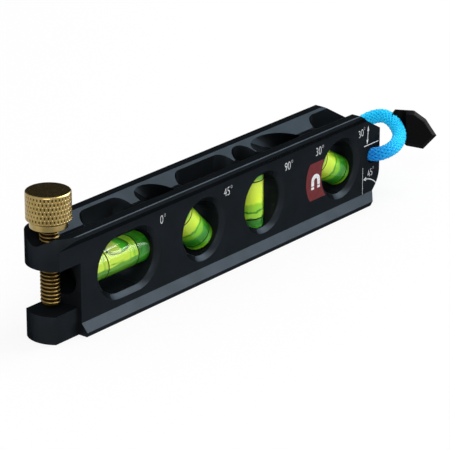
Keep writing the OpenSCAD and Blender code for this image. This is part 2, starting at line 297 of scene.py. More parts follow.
# Between the strands the core shows through, in the shade of the braid
core_yarn, tree, shader = new_material("shaded core yarn", Roughness=0.9, Specular_IOR_Level=0.1)
tree.links.new(mottled(tree, 2.5, 2.0, "#0a78c8", "#1296e6"), shader.inputs["Base Color"])
cord.data.materials.append(core_yarn)
for face in cord.data.polygons[:len(core_mesh.polygons)]:
    face.material_index = 1


# Cord tag: a moulded black plastic end piece, clipped over the loop.
# Its edges are rounded by the mould, and the plastic has a fine satin grain.
flat_area = 40 * MM * MM
doubles_within, flat_within = 0.002 * MM, math.radians(0.6)


def rounded(node, name, width, angle, segments=2):
    """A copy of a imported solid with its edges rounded; flat faces stay flat."""
    shape = bmesh.new()
    shape.from_mesh(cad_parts[node].data)
    bmesh.ops.remove_doubles(shape, verts=shape.verts, dist=doubles_within)
    bmesh.ops.dissolve_limit(shape, angle_limit=flat_within, verts=shape.verts, edges=shape.edges)
    mesh = bpy.data.meshes.new(name)
    shape.to_mesh(mesh)
    shape.free()
    host = hosted(mesh)
    bevel = host.modifiers.new("edges", "BEVEL")
    bevel.width = width
    bevel.segments = segments
    bevel.limit_method = "ANGLE"
    bevel.angle_limit = math.radians(angle)
    bevel.harden_normals = True
    bevel.use_clamp_overlap = True
    mesh.shade_smooth()
    done = plain_mesh(host)
    # A long flat face is lit evenly from end to end, whatever its corners meet
    normals = [corner.vector.copy() for corner in done.corner_normals]
    for face in done.polygons:
        if face.area > flat_area:
            for k in face.loop_indices:
                normals[k] = face.normal.copy()
    done.normals_split_custom_set(normals)
    return done


tag_plastic, tree, shader = new_material("moulded nylon", Base_Color=linear("#030303"), Roughness=0.5,
                                         Specular_IOR_Level=0.04)
coords = add(tree, "ShaderNodeTexCoord")
grain = add(tree, "ShaderNodeTexNoise", {"Vector": coords.outputs["Object"], "Scale": 3.5 / MM,
                                         "Detail": 3.0})
bump = add(tree, "ShaderNodeBump", {"Height": grain, "Strength": 0.12, "Distance": 0.05 * MM})
tree.links.new(bump.outputs["Normal"], shader.inputs["Normal"])
tag = new_piece("cord_tag_moulding", rounded("cord_tag", "cord_tag_moulding", 0.8 * MM, 20, 4), tag_plastic,
                "level", "tag", "cord_tag")


# Body: one bar of extruded aluminium, milled, drilled and anodised black.
# The anodising gives a deep satin black with thin bright lines where edges are broken.
anodised, tree, shader = new_material("black anodised aluminium", Metallic=0.72, Roughness=0.4,
                                      Specular_IOR_Level=0.0)
shader.inputs["Specular Tint"].default_value = (0.26, 0.26, 0.26, 1)
# The dye takes a little unevenly, and the blasted skin has grains of about 0.2 mm, drawn at 0.4 mm to show
coords = add(tree, "ShaderNodeTexCoord")
tree.links.new(mottled(tree, 0.14, 3.0, "#1e2225", "#212529", 0.35, 0.65), shader.inputs["Base Color"])
blast = add(tree, "ShaderNodeTexNoise", {"Vector": coords.outputs["Object"], "Scale": 2.6 / MM,
                                         "Detail": 4.0})
satin = add(tree, "ShaderNodeMapRange", {"Value": blast, "To Min": 0.34, "To Max": 0.46})
tree.links.new(satin.outputs["Result"], shader.inputs["Roughness"])
bump = add(tree, "ShaderNodeBump", {"Height": blast, "Strength": 0.1, "Distance": 0.04 * MM})
tree.links.new(bump.outputs["Normal"], shader.inputs["Normal"])
new_piece("bar", rounded("body", "bar", 0.18 * MM, 28), anodised, "level", "body_metal", "body")


# Printed marks: angle numbers, the nose's arrows and the magnet badge, screened on the web with hard ink.
# The ink is a film three hundredths of a millimetre thick, so that its edge is real.
ink_film = 0.03 * MM
web_face = -7.4 * MM
window_30 = Vector((133.6, 17.5))
window_edge = 10.95


def printed(curve, thickness, place):
    """A flat curve or lettering as a mesh of ink, then laid at its place on the web's front face."""
    curve.extrude = thickness / 2
    mesh = plain_mesh(hosted(curve))
    mesh.transform(place)
    return mesh


def flat_shape(outlines):
    """A filled flat curve; each outline is a closed row of points in millimetres."""
    curve = bpy.data.curves.new("flat", "CURVE")
    curve.dimensions = "2D"
    curve.fill_mode = "BOTH"
    for outline in outlines:
        spline = curve.splines.new("POLY")
        spline.points.add(len(outline) - 1)
        for point, (x, z) in zip(spline.points, outline):
            point.co = (x * MM, z * MM, 0, 1)
        spline.use_cyclic_u = True
    return curve


def number_mark(text, x, z, height, turn=0.0, stroke=-0.014):
    """A number in narrow digits, centred on its place and turned by some degrees."""
    curve = bpy.data.curves.new(text, "FONT")
    curve.body = text
    curve.resolution_u = 6
    curve.offset = stroke
    plain = printed(curve, 0.0, Matrix())
    xs = [v.co.x for v in plain.vertices]
    ys = [v.co.y for v in plain.vertices]
    size = height * MM / (max(ys) - min(ys))
    centre = Matrix.Translation((-(max(xs) + min(xs)) / 2, -(max(ys) + min(ys)) / 2, 0))
    spot = on_web @ Matrix.Translation((x * MM, z * MM, ink_film / 2))
    place = spot @ Matrix.Rotation(math.radians(turn), 4, "Z")
    return printed(curve, ink_film / size, place @ Matrix.Diagonal((0.8 * size, size, size, 1)) @ centre)


def arc(centre, radius, start, end, steps=24):
    """Points along an arc in the web's plane, in millimetres."""
    return [(centre[0] + radius * math.cos(math.radians(start + (end - start) * k / steps)),
             centre[1] + radius * math.sin(math.radians(start + (end - start) * k / steps)))
            for k in range(steps + 1)]


on_web = Matrix.Translation((0, web_face, 0)) @ Matrix.Rotation(math.pi / 2, 4, "X")
on_skin = on_web @ Matrix.Translation((0, 0, ink_film / 2))
white_ink, tree, shader = new_material("white screen ink", Roughness=0.45, Specular_IOR_Level=0.2)
# The film is thin, so the black below darkens it in places a few tenths of a millimetre wide
tree.links.new(mottled(tree, 1.8, 3.0, "#b4b8bc", "#dcdfe2", 0.3, 0.55), shader.inputs["Base Color"])
nose_lines = [
    [(147.1, 21.9), (147.1, 21.62), (155.4, 21.62), (155.4, 21.9)],
    [(146.42, 14.1), (146.42, 4.2), (146.57, 4.2), (146.57, 14.1)],
    [(149.35, 28.9), (148.75, 27.0), (149.1, 27.0), (148.85, 23.9), (148.4, 23.9), (148.8, 22.1),
     (149.5, 23.9), (149.15, 23.9), (149.4, 27.0), (149.85, 27.0)],
]
swing = (147.0, -0.8)
nose_lines.append(arc(swing, 10.5, 45, 84) + arc(swing, 10.15, 84, 45))
nose_lines.append([(146.8, 9.55), (148.5, 10.2), (148.4, 8.8)])
marks = [printed(flat_shape([line]), ink_film, on_skin) for line in nose_lines]
marks += [number_mark("0°", 39.4, 27.3, 3.0, stroke=-0.018),
          number_mark("45°", 72.3, 27.2, 3.0, stroke=-0.016),
          number_mark("90°", 104.6, 26.9, 3.0), number_mark("30°", 121.7, 27.5, 3.0),
          number_mark("30°", 145.7, 27.3, 2.7, 8, -0.018), number_mark("45°", 151.2, 11.4, 2.7, 12, -0.018)]
magnet_x, leg, half = 119.5, 1.5, 2.4
bend_z, foot_z = 17.2, 15.5
horseshoe = (arc((magnet_x, bend_z), half, 180, 0)
             + [(magnet_x + half, foot_z), (magnet_x + half - leg, foot_z)]
             + arc((magnet_x, bend_z), half - leg, 0, 180)
             + [(magnet_x - half + leg, foot_z), (magnet_x - half, foot_z)])
poles = [[(x, foot_z - 0.3), (x + leg, foot_z - 0.3), (x + leg, foot_z - 1.15), (x, foot_z - 1.15)]
         for x in (magnet_x - half, magnet_x + half - leg)]
above = on_web @ Matrix.Translation((0, 0, 1.5 * ink_film))
marks += [printed(flat_shape([shape]), ink_film, above) for shape in [horseshoe] + poles]
new_piece("printed_marks", join("printed_marks", marks), white_ink, "level", "marking")

# The red film is a little uneven, in patches about a millimetre wide
red_ink, tree, shader = new_material("oxide red screen ink", Roughness=0.4, Specular_IOR_Level=0.15)
tree.links.new(mottled(tree, 0.9, 4.0, "#560d13", "#63161d", 0.3, 0.7), shader.inputs["Base Color"])
badge_low, badge_high = 10.4, 23.75
low = math.degrees(math.asin((badge_low - window_30.y) / window_edge))
high = math.degrees(math.asin((badge_high - window_30.y) / window_edge))
badge_outline = (arc(window_30, window_edge, 180 - high, 180 - low)
                 + arc((125.2, 17.1), 11.0, 180 + 37.5, 180 - 37.2))
new_piece("magnet_badge", printed(flat_shape([badge_outline]), ink_film, on_skin), red_ink, "level", "badge")


# Thumb screw: turned from brass bar, with a knurl rolled on its grip and a quarter inch coarse thread.
# The screw rides in the upper ear and clamps down on the lower one.
screw_x = -6 * MM
tip_z, neck_z, cone_z, grip_z, top_z = (z * MM for z in (11.05, 36.75, 38.75, 39.45, 48.55))
neck_r, grip_break = 6.1 * MM, 0.45 * MM
knurl_r, knurl_depth, knurl_columns = 7.25 * MM, 0.35 * MM, 38
knurl_row, knurl_first = 1.42 * MM, 40.2 * MM
thread_r, thread_root, thread_pitch = 3.175 * MM, 2.5 * MM, 1.27 * MM
# Half the width of the thread's ridge at its foot and at its crest, as shares of the pitch
foot_share, crest_share = 0.47, 0.0625
tool_ring_gap = 0.3 * MM


def turned(name, profile, steps, place=None):
    """A round piece turned from its half section: points of (radius, height) from its lower end up."""
    shape = bmesh.new()
    rows = []
    for radius, height in profile:
        if radius < 1e-7:
            rows.append([shape.verts.new((0, 0, height))] * steps)
        else:
            rows.append([shape.verts.new((radius * math.cos(2 * math.pi * k / steps),
                                          radius * math.sin(2 * math.pi * k / steps), height))
                         for k in range(steps)])
    for below, above_it in zip(rows, rows[1:]):
        for k in range(steps):
            ring = [below[k - 1], below[k], above_it[k], above_it[k - 1]]
            corners = [v for i, v in enumerate(ring) if v is not ring[i - 1]]
            if len(corners) > 2:
                shape.faces.new(corners)
    bmesh.ops.recalc_face_normals(shape, faces=shape.faces)
    mesh = bpy.data.meshes.new(name)
    shape.to_mesh(mesh)
    shape.free()
    if place:
        mesh.transform(place)
    return mesh


def knurl_tree():
    """A drum pitted in rows, each row half a step on from the last, as a rolled knurl leaves it."""
    tree, given, out = new_tree("knurl", {
        "Columns": ("Float", 38.0), "Row Height": ("Float", 0.0014), "Radius": ("Float", 0.0073),
        "Depth": ("Float", 0.0003), "Start": ("Float", 0.0), "Height": ("Float", 0.009),
        "First Row": ("Float", 0.0), "Material": ("Material", None),
    })
    drum = add(tree, "GeometryNodeMeshCylinder", {
        "Vertices": 380, "Side Segments": 72, "Radius": given.outputs["Radius"],
        "Depth": given.outputs["Height"],
    }, fill_type="NONE")
    place = add(tree, "ShaderNodeSeparateXYZ", {"Vector": add(tree, "GeometryNodeInputPosition")})
    angle = add(tree, "ShaderNodeMath", {0: place.outputs["Y"], 1: place.outputs["X"]}, operation="ARCTAN2")
    column = add(tree, "ShaderNodeMath", {0: angle, 1: given.outputs["Columns"]}, operation="MULTIPLY")
    middle = add(tree, "ShaderNodeMath", {0: given.outputs["Height"], 1: 0.5}, operation="MULTIPLY")
    height = add(tree, "ShaderNodeMath", {0: place.outputs["Z"], 1: middle})
    above = add(tree, "ShaderNodeMath", {0: height, 1: given.outputs["First Row"]}, operation="SUBTRACT")
    row = add(tree, "ShaderNodeMath", {0: above, 1: given.outputs["Row Height"]}, operation="DIVIDE")
    row = add(tree, "ShaderNodeMath", {0: row, 1: math.pi}, operation="MULTIPLY")
    round_wave = add(tree, "ShaderNodeMath", {0: column}, operation="COSINE")
    up_wave = add(tree, "ShaderNodeMath", {0: row}, operation="COSINE")
    both = add(tree, "ShaderNodeMath", {0: round_wave, 1: up_wave}, operation="MULTIPLY")
    pit = add(tree, "ShaderNodeMapRange", {"Value": both, "From Min": 0.15, "From Max": 0.95},
              interpolation_type="SMOOTHSTEP")
    # The pits fade out just short of both ends, so the drum's ends stay round
    to_end = add(tree, "ShaderNodeMath", {0: given.outputs["Height"], 1: height}, operation="SUBTRACT")
    nearest = add(tree, "ShaderNodeMath", {0: to_end, 1: height}, operation="MINIMUM")
    kept = add(tree, "ShaderNodeMapRange", {"Value": nearest, "From Min": 0.05 * MM, "From Max": 0.3 * MM})
    deep = add(tree, "ShaderNodeMath", {0: pit, 1: kept}, operation="MULTIPLY")
    deep = add(tree, "ShaderNodeMath", {0: deep, 1: given.outputs["Depth"]}, operation="MULTIPLY")
    inwards = add(tree, "ShaderNodeCombineXYZ", {"X": place.outputs["X"], "Y": place.outputs["Y"]})
    inwards = add(tree, "ShaderNodeVectorMath", {0: inwards}, operation="NORMALIZE")
    less = add(tree, "ShaderNodeMath", {0: deep, 1: -1.0}, operation="MULTIPLY")
    move = add(tree, "ShaderNodeVectorMath", {0: inwards, "Scale": less}, operation="SCALE")
    pressed = add(tree, "GeometryNodeSetPosition", {"Geometry": drum,
                                                    "Offset": move})
    lift = add(tree, "ShaderNodeMath", {0: given.outputs["Start"], 1: middle})
    raised = add(tree, "GeometryNodeTransform", {
        "Geometry": pressed,
        "Translation": add(tree, "ShaderNodeCombineXYZ", {"Z": lift})})
    return end_tree(tree, given, out, raised)


def thread_tree():
    """A V ridge that winds up a shank at one pitch for each turn."""
    tree, given, out = new_tree("thread", {
        "Pitch": ("Float", 0.00127), "Length": ("Float", 0.02), "Root Radius": ("Float", 0.0025),
        "Radius": ("Float", 0.0032), "Start": ("Float", 0.0), "Material": ("Material", None),
    })
    turns = add(tree, "ShaderNodeMath", {0: given.outputs["Length"], 1: given.outputs["Pitch"]},
                operation="DIVIDE")
    path = add(tree, "GeometryNodeCurveSpiral", {
        "Resolution": 40, "Rotations": turns, "Start Radius": given.outputs["Root Radius"],
        "End Radius": given.outputs["Root Radius"], "Height": given.outputs["Length"]})
    upright = add(tree, "GeometryNodeSetCurveNormal", {"Curve": path}, mode="Z_UP")
    depth = add(tree, "ShaderNodeMath", {0: given.outputs["Radius"], 1: given.outputs["Root Radius"]},
                operation="SUBTRACT")
    outward = add(tree, "ShaderNodeMath", {0: depth, 1: -1.0}, operation="MULTIPLY")
    foot = add(tree, "ShaderNodeMath", {0: given.outputs["Pitch"], 1: foot_share}, operation="MULTIPLY")
    foot_low = add(tree, "ShaderNodeMath", {0: foot, 1: -1.0}, operation="MULTIPLY")
    crest = add(tree, "ShaderNodeMath", {0: given.outputs["Pitch"], 1: crest_share}, operation="MULTIPLY")
    crest_low = add(tree, "ShaderNodeMath", {0: crest, 1: -1.0}, operation="MULTIPLY")
    corners = [add(tree, "ShaderNodeCombineXYZ", {"X": x, "Y": y})
               for x, y in ((0.0, foot), (outward, crest), (outward, crest_low), (0.0, foot_low))]
    ridge = add(tree, "GeometryNodeCurvePrimitiveQuadrilateral",
                {f"Point {k + 1}": corner for k, corner in enumerate(corners)}, mode="POINTS")
    swept = add(tree, "GeometryNodeCurveToMesh", {"Curve": upright,
                                                  "Profile Curve": ridge, "Fill Caps": True})
    lift = add(tree, "ShaderNodeCombineXYZ", {"Z": given.outputs["Start"]})
    raised = add(tree, "GeometryNodeTransform", {"Geometry": swept,
                                                 "Translation": lift})
    return end_tree(tree, given, out, raised)


brass, tree, shader = new_material("turned brass", Metallic=1.0, Roughness=0.3)
# Rolling leaves the knurl's and the thread's hollows brown, and the thread under the head is also painted
# darker all over as painted shade; the turned faces keep rings about 0.15 mm apart, drawn at 0.3 mm to show,
# and handling has stained the brass a little in patches of 2 mm
coords = add(tree, "ShaderNodeTexCoord")
centred = add(tree, "ShaderNodeMapping", {"Vector": coords.outputs["Object"], "Location": (-screw_x, 0, 0)})
axes = add(tree, "ShaderNodeSeparateXYZ", {"Vector": centred})
across = add(tree, "ShaderNodeCombineXYZ", {"X": axes.outputs["X"], "Y": axes.outputs["Y"]})
radius = add(tree, "ShaderNodeVectorMath", {0: across}, operation="LENGTH").outputs["Value"]
pit = add(tree, "ShaderNodeMapRange", {"Value": radius, "From Min": knurl_r - 0.34 * MM,
                                       "From Max": knurl_r - 0.1 * MM, "To Min": 0.85, "To Max": 0.0})
on_grip = add(tree, "ShaderNodeMath", {0: axes.outputs["Z"], 1: grip_z + 0.2 * MM}, operation="GREATER_THAN")
under_rim = add(tree, "ShaderNodeMath", {0: axes.outputs["Z"], 1: top_z - grip_break}, operation="LESS_THAN")
in_grip = add(tree, "ShaderNodeMath", {0: on_grip, 1: under_rim}, operation="MULTIPLY")
grip_dark = add(tree, "ShaderNodeMath", {0: pit, 1: in_grip}, operation="MULTIPLY")
# The shank is painted darker brown: fully in the thread's roots, as patina, and partly on its crests, as
# painted shade under the head and ears
root = add(tree, "ShaderNodeMapRange", {"Value": radius, "From Min": 2.55 * MM, "From Max": 3.15 * MM,
                                        "To Min": 1.0, "To Max": 0.6})
on_shank = add(tree, "ShaderNodeMath", {0: axes.outputs["Z"], 1: neck_z - 0.05 * MM}, operation="LESS_THAN")
shank_patina_and_shade = add(tree, "ShaderNodeMath", {0: root, 1: on_shank}, operation="MULTIPLY")
patina_and_shade = add(tree, "ShaderNodeMath", {0: grip_dark, 1: shank_patina_and_shade}, operation="MAXIMUM")
polish = mottled(tree, 0.5, 4.0, "#927e4c", "#a69260", 0.3, 0.7)
coloured = add(tree, "ShaderNodeMix", {0: patina_and_shade, 6: polish, 7: linear("#4a3408")}, data_type="RGBA")
tree.links.new(coloured.outputs[2], shader.inputs["Base Color"])
gloss = add(tree, "ShaderNodeMapRange", {"Value": patina_and_shade, "To Min": 0.26, "To Max": 0.5})
tree.links.new(gloss.outputs["Result"], shader.inputs["Roughness"])
rings = add(tree, "ShaderNodeTexWave", {"Vector": centred, "Scale": math.pi / (10 * tool_ring_gap),
                                        "Distortion": 0.4, "Detail": 1.0},
            wave_type="RINGS", rings_direction="Z")
bump = add(tree, "ShaderNodeBump", {"Height": rings.outputs["Fac"], "Strength": 0.35, "Distance": 0.02 * MM})
tree.links.new(bump.outputs["Normal"], shader.inputs["Normal"])

seed = bpy.data.meshes.new("seed")
knurl = run_tree(knurl_tree(), seed, {
    "Columns": float(knurl_columns), "Row Height": knurl_row, "Radius": knurl_r, "Depth": knurl_depth,
    "Start": grip_z + 0.1 * MM, "Height": top_z - grip_break - grip_z - 0.1 * MM,
    "First Row": knurl_first - grip_z - 0.1 * MM, "Material": brass,
})
thread = run_tree(thread_tree(), seed, {
    "Pitch": thread_pitch, "Length": neck_z - tip_z - 0.6 * thread_pitch,
    "Root Radius": thread_root - 0.02 * MM, "Radius": thread_r, "Start": tip_z + 0.5 * thread_pitch,
    "Material": brass,
})
soft = 0.12 * MM
head = turned("head", [
    (0, tip_z), (thread_root - 0.3 * MM, tip_z), (thread_root, tip_z + 0.3 * MM), (thread_root, neck_z),
    (neck_r - soft, neck_z), (neck_r, neck_z + soft), (neck_r, cone_z - 0.1 * MM),
    (neck_r + 0.15 * MM, cone_z),
    (knurl_r - 0.3 * MM, grip_z - 0.1 * MM), (knurl_r - 0.05 * MM, grip_z), (knurl_r, grip_z + 0.1 * MM),
], 128)
rim = turned("rim", [
    (knurl_r, top_z - grip_break), (knurl_r - 0.1 * MM, top_z - 0.22 * MM),
    (knurl_r - 0.32 * MM, top_z - 0.06 * MM), (knurl_r - 0.5 * MM, top_z), (0, top_z),
], 128)
turned_screw = join("thumb_screw_turned", [head, knurl, rim, thread])
turned_screw.transform(Matrix.Translation((screw_x, 0, 0)))
new_piece("thumb_screw_turned", turned_screw, brass, "screw", "brass", "thumb_screw")


# Vials: clear acrylic barrels, bored and plugged, with a fluorescent yellow-green fluid and one bubble.
# Each is pressed into its bore from the top or the clamp's end; two fine black rings mark the bubble's place.
vial_r, chamber_r, edge_width = 5.3 * MM, 4.25 * MM, 0.95 * MM
ring_film = 0.04 * MM
# The fluid wets the bore, so no air shows there: the acrylic has no inner wall and closes over its plug
skin, open_break, plug_length = 0.02 * MM, 0.15 * MM, 1 * MM
vial_z = 17.5
# The bubble of the level vial: its middle and half length along it, and how high it lies and reaches
level_bubble = (13.9 * MM, 5.4 * MM, 3.6 * MM, 1.5 * MM)


def vial_place(x, height, tilt=0, start=0):
    """A vial's place: it leans at a point of its axis, and its closed end lies at start from there."""
    return (Matrix.Translation(Vector((x, 0, height)) * MM) @ Matrix.Rotation(math.radians(tilt), 4, "Y")
            @ Matrix.Translation((0, 0, start * MM)))


# For each: its place, length, solid end, its rings' heights and width, how far painted shade leaves its low
# and high sides green, and the painted light and shade in the colours that show along it, from its closed end
# up, in millimetres
slanted_lit_and_shaded = [
    (0, "#9cc432"), (0.9, "#8fbe34"), (1.5, "#4c9a24"), (3.0, "#3f9220"), (3.9, "#2a7f26"),
    (6.2, "#358c34"), (7.2, "#74b62e"), (8.6, "#7fbc34"), (8.9, "#46992a"), (9.5, "#4c9e2a"),
    (9.8, "#bcd843"), (15.6, "#c8df50"), (16.6, "#86c458"),
]
vials = {
    "0": (vial_place(36.5, vial_z, -90), 28 * MM, 5.1 * MM, (6.5, 20.9), 0.45, 0.85, 0.45, [
        (0, "#22701c"), (2.2, "#1c6a1c"), (3.4, "#2f8534"), (4.6, "#1f7222"), (5.9, "#2f8628"),
        (6.2, "#a8cf4c"), (7.2, "#a4cc48"), (7.6, "#7cb838"), (8.6, "#b4d24a"), (9.6, "#8cc03c"),
        (10.2, "#b3cb4b"), (20.3, "#b4cd51"), (21.4, "#bdd358"), (22.3, "#86b83c"), (22.6, "#bad055"),
        (26.4, "#b4cc50"), (27.2, "#101f0a"),
    ]),
    "45": (vial_place(59.9, vial_z, -45, -9.4), 20 * MM, 1.6 * MM, (3.6, 15.9), 0.4, 0.0, 0.75, slanted_lit_and_shaded),
    "90": (vial_place(91.75, 6.2), 22 * MM, 3.5 * MM, (5.15, 18.35), 0.42, 0.0, 0.0, [
        (0, "#2c7a22"), (1.8, "#3c8c2c"), (3.0, "#2a7626"), (4.9, "#2f8028"), (5.2, "#9cc83e"),
        (7.2, "#8fc23a"), (7.35, "#347f20"), (7.75, "#347f20"), (7.9, "#84ba32"), (9.8, "#8cbe34"),
        (10.6, "#c9de42"), (18.0, "#d2e55c"), (18.7, "#84c652"),
    ]),
    "30": (vial_place(133.6, vial_z, -60, -9.8), 20 * MM, 1.6 * MM, (3.2, 16.0), 0.4, 0.0, 0.75, slanted_lit_and_shaded),
}

# Cast acrylic is clear with a faint wave in its polished skin, and the fluid tints what is seen through it.
# Its index is set to 1.28, lower than the real 1.49, so that the white room doesn't grey the fluid's green.
acrylic, tree, shader = new_material("cast acrylic", Base_Color=linear("#f2f8c8"), IOR=1.28,
                                     Specular_IOR_Level=0.3, Transmission_Weight=1.0)
coords = add(tree, "ShaderNodeTexCoord")
wave = add(tree, "ShaderNodeTexNoise", {"Vector": coords.outputs["Object"], "Scale": 0.26 / MM,
                                        "Detail": 1.0})
haze = add(tree, "ShaderNodeMapRange", {"Value": wave, "To Min": 0.06, "To Max": 0.12})
tree.links.new(haze.outputs["Result"], shader.inputs["Roughness"])
bump = add(tree, "ShaderNodeBump", {"Height": wave, "Strength": 0.02, "Distance": 0.1 * MM})
tree.links.new(bump.outputs["Normal"], shader.inputs["Normal"])

# The bevelled ends are given a painted glow in the fluid's colours: painted bright where they face the light
# at the nose's end, else green
painted_glow_edge, tree, shader = new_material("acrylic edge with painted glow", Roughness=0.3, Specular_IOR_Level=0.2,
                                          Emission_Strength=0.45)
coords = add(tree, "ShaderNodeTexCoord")
saw = add(tree, "ShaderNodeTexNoise", {"Vector": coords.outputs["Object"], "Scale": 0.9 / MM, "Detail": 3.0})
facing = add(tree, "ShaderNodeSeparateXYZ", {"Vector": add(tree, "ShaderNodeNewGeometry").outputs["Normal"]})
lit = add(tree, "ShaderNodeMath", {0: saw, 1: 0.25, 2: facing.outputs["X"]}, operation="MULTIPLY_ADD")
tone = add(tree, "ShaderNodeValToRGB", {"Fac": lit})
tone.color_ramp.elements[0].position = 0.5
tone.color_ramp.elements[0].color = linear("#4a9420")
tone.color_ramp.elements[1].position = 0.9
tone.color_ramp.elements[1].color = linear("#dcea62")
tone.color_ramp.elements.new(0.74).color = linear("#96c432")
tree.links.new(tone.outputs["Color"], shader.inputs["Base Color"])
tree.links.new(tone.outputs["Color"], shader.inputs["Emission Color"])


def painted_fluid_material(name, place, length, low_side_shade, high_side_shade, lit_and_shaded_colours, bubble=None):
    """The fluorescent fluid as the eye meets it through the round barrel, in the vial's own frame, with its
    light and shade painted on.

    Light gathers in it, so it is painted pale yellow along its middle and green towards its ends and shaded
    side, and it has a faint painted glow."""
    mat, tree, shader = new_material(name, Roughness=0.3, Specular_IOR_Level=0.1, Emission_Strength=0.08)
    own = place.inverted()
    coords = add(tree, "ShaderNodeTexCoord")
    local = add(tree, "ShaderNodeMapping", {"Vector": coords.outputs["Object"],
                                            "Location": own.to_translation(), "Rotation": own.to_euler()})
    axes = add(tree, "ShaderNodeSeparateXYZ", {"Vector": local})
    # Streaks a third of a millimetre wide and three long, as the tool left them in the bore, waver the edge
    # of the painted shade
    drawn = add(tree, "ShaderNodeMapping", {"Vector": local, "Scale": (1, 1, 0.12)})
    streaks = add(tree, "ShaderNodeTexNoise", {"Vector": drawn, "Scale": 1.5 / MM, "Detail": 2.0})
    swirl = add(tree, "ShaderNodeTexNoise", {"Vector": local, "Scale": 0.26 / MM, "Detail": 2.0,
                                             "Distortion": 1.0})
    bend = add(tree, "ShaderNodeMapRange", {"Value": swirl, "From Min": 0.3, "From Max": 0.7,
                                            "To Min": -0.45 * MM, "To Max": 0.45 * MM})
    height = add(tree, "ShaderNodeMath", {0: axes.outputs["Z"], 1: bend})
    share = add(tree, "ShaderNodeMath", {0: height, 1: length}, operation="DIVIDE")
    along = add(tree, "ShaderNodeValToRGB", {"Fac": share})
    stops = along.color_ramp.elements
    stops[0].color, stops[1].position, stops[1].color = linear(lit_and_shaded_colours[0][1]), 1.0, linear(lit_and_shaded_colours[-1][1])
    for spot, colour in lit_and_shaded_colours[1:]:
        stops.new(spot * MM / length).color = linear(colour)
    waver = add(tree, "ShaderNodeMapRange", {"Value": streaks, "From Min": 0.3, "From Max": 0.7,
                                             "To Min": -0.2, "To Max": 0.2})
    side = add(tree, "ShaderNodeMath", {0: axes.outputs["X"], 1: 1 / chamber_r, 2: waver},
               operation="MULTIPLY_ADD")
    low = add(tree, "ShaderNodeMapRange", {"Value": side, "From Min": 0.02, "From Max": -0.2,
                                           "To Max": low_side_shade})
    high = add(tree, "ShaderNodeMapRange", {"Value": side, "From Min": 0.72, "From Max": 0.92,
                                            "To Max": high_side_shade})
    shaded = add(tree, "ShaderNodeMix", {0: low, 6: along, 7: linear("#358a24")},
                 data_type="RGBA")
    shaded = add(tree, "ShaderNodeMix", {0: high, 6: shaded.outputs[2], 7: linear("#4fa42a")},
                 data_type="RGBA")
    if bubble:
        # The bubble under the top of the barrel, painted on: a dark rim, a green lens at one end, and a
        # painted reflection of pale sky in the other
        middle, half, top, spread = bubble
        left = add(tree, "ShaderNodeMath", {0: axes.outputs["Z"], 1: middle}, operation="SUBTRACT")
        left = add(tree, "ShaderNodeMath", {0: left, 1: half}, operation="DIVIDE")
        rise = add(tree, "ShaderNodeMath", {0: axes.outputs["X"], 1: top}, operation="SUBTRACT")
        rise = add(tree, "ShaderNodeMath", {0: rise, 1: spread}, operation="DIVIDE")
        place_in = add(tree, "ShaderNodeCombineXYZ", {"X": left, "Y": rise})
        from_middle = add(tree, "ShaderNodeVectorMath", {0: place_in}, operation="LENGTH")
        within = add(tree, "ShaderNodeMapRange", {"Value": from_middle.outputs["Value"], "From Min": 1.04,
                                                  "From Max": 0.96})
        rim = add(tree, "ShaderNodeMapRange", {"Value": from_middle.outputs["Value"], "From Min": 0.66,
                                               "From Max": 0.9})
        lens = add(tree, "ShaderNodeValToRGB", {"Fac": add(tree, "ShaderNodeMapRange", {
            "Value": left, "From Min": -1.0, "From Max": 1.0})})
        lens.color_ramp.elements[0].color = linear("#2f9a26")
        lens.color_ramp.elements[1].color = linear("#9fb060")
        lens.color_ramp.elements.new(0.36).color = linear("#3da42c")
        lens.color_ramp.elements.new(0.46).color = linear("#a3bd58")
        inside = add(tree, "ShaderNodeMix", {0: rim, 6: lens,
                                             7: linear("#2b5a1a")}, data_type="RGBA")
        shaded = add(tree, "ShaderNodeMix", {0: within, 6: shaded.outputs[2], 7: inside.outputs[2]},
                     data_type="RGBA")
    # The painted light and shade also serve as the colour of a faint painted glow
    tree.links.new(shaded.outputs[2], shader.inputs["Base Color"])
    tree.links.new(shaded.outputs[2], shader.inputs["Emission Color"])
    return mat


# The plugs sit deep in the dark bores, so they are painted dark bottle green as painted shade
shade_painted_plug, tree, shader = new_material("plug painted in shade", Roughness=0.4, Specular_IOR_Level=0.1)
tree.links.new(mottled(tree, 0.3, 2.0, "#0c1c08", "#16300e", 0.35, 0.65), shader.inputs["Base Color"])

# The rings' paint is thin, so the fluid's green tinges its black
black_line, tree, shader = new_material("black ring paint", Roughness=0.6, Specular_IOR_Level=0.1)
tree.links.new(mottled(tree, 1.5, 2.0, "#081204", "#0f2006"), shader.inputs["Base Color"])


def ring_tree():
    """A painted ring at each point, square to the vial's length."""
    tree, given, out = new_tree("rings", {
        "Radius": ("Float", 0.005), "Width": ("Float", 0.0003), "Film": ("Float", 0.00003),
        "Material": ("Material", None),
    })
    hoop = add(tree, "GeometryNodeCurvePrimitiveCircle", {"Resolution": 96,
                                                          "Radius": given.outputs["Radius"]})
    film = add(tree, "GeometryNodeCurvePrimitiveQuadrilateral", {"Width": given.outputs["Film"],
                                                                 "Height": given.outputs["Width"]})
    ring = add(tree, "GeometryNodeCurveToMesh", {"Curve": hoop,
                                                 "Profile Curve": film})
    placed = add(tree, "GeometryNodeInstanceOnPoints", {"Points": given.outputs["Geometry"],
                                                        "Instance": ring})
    return end_tree(tree, given, out, placed)


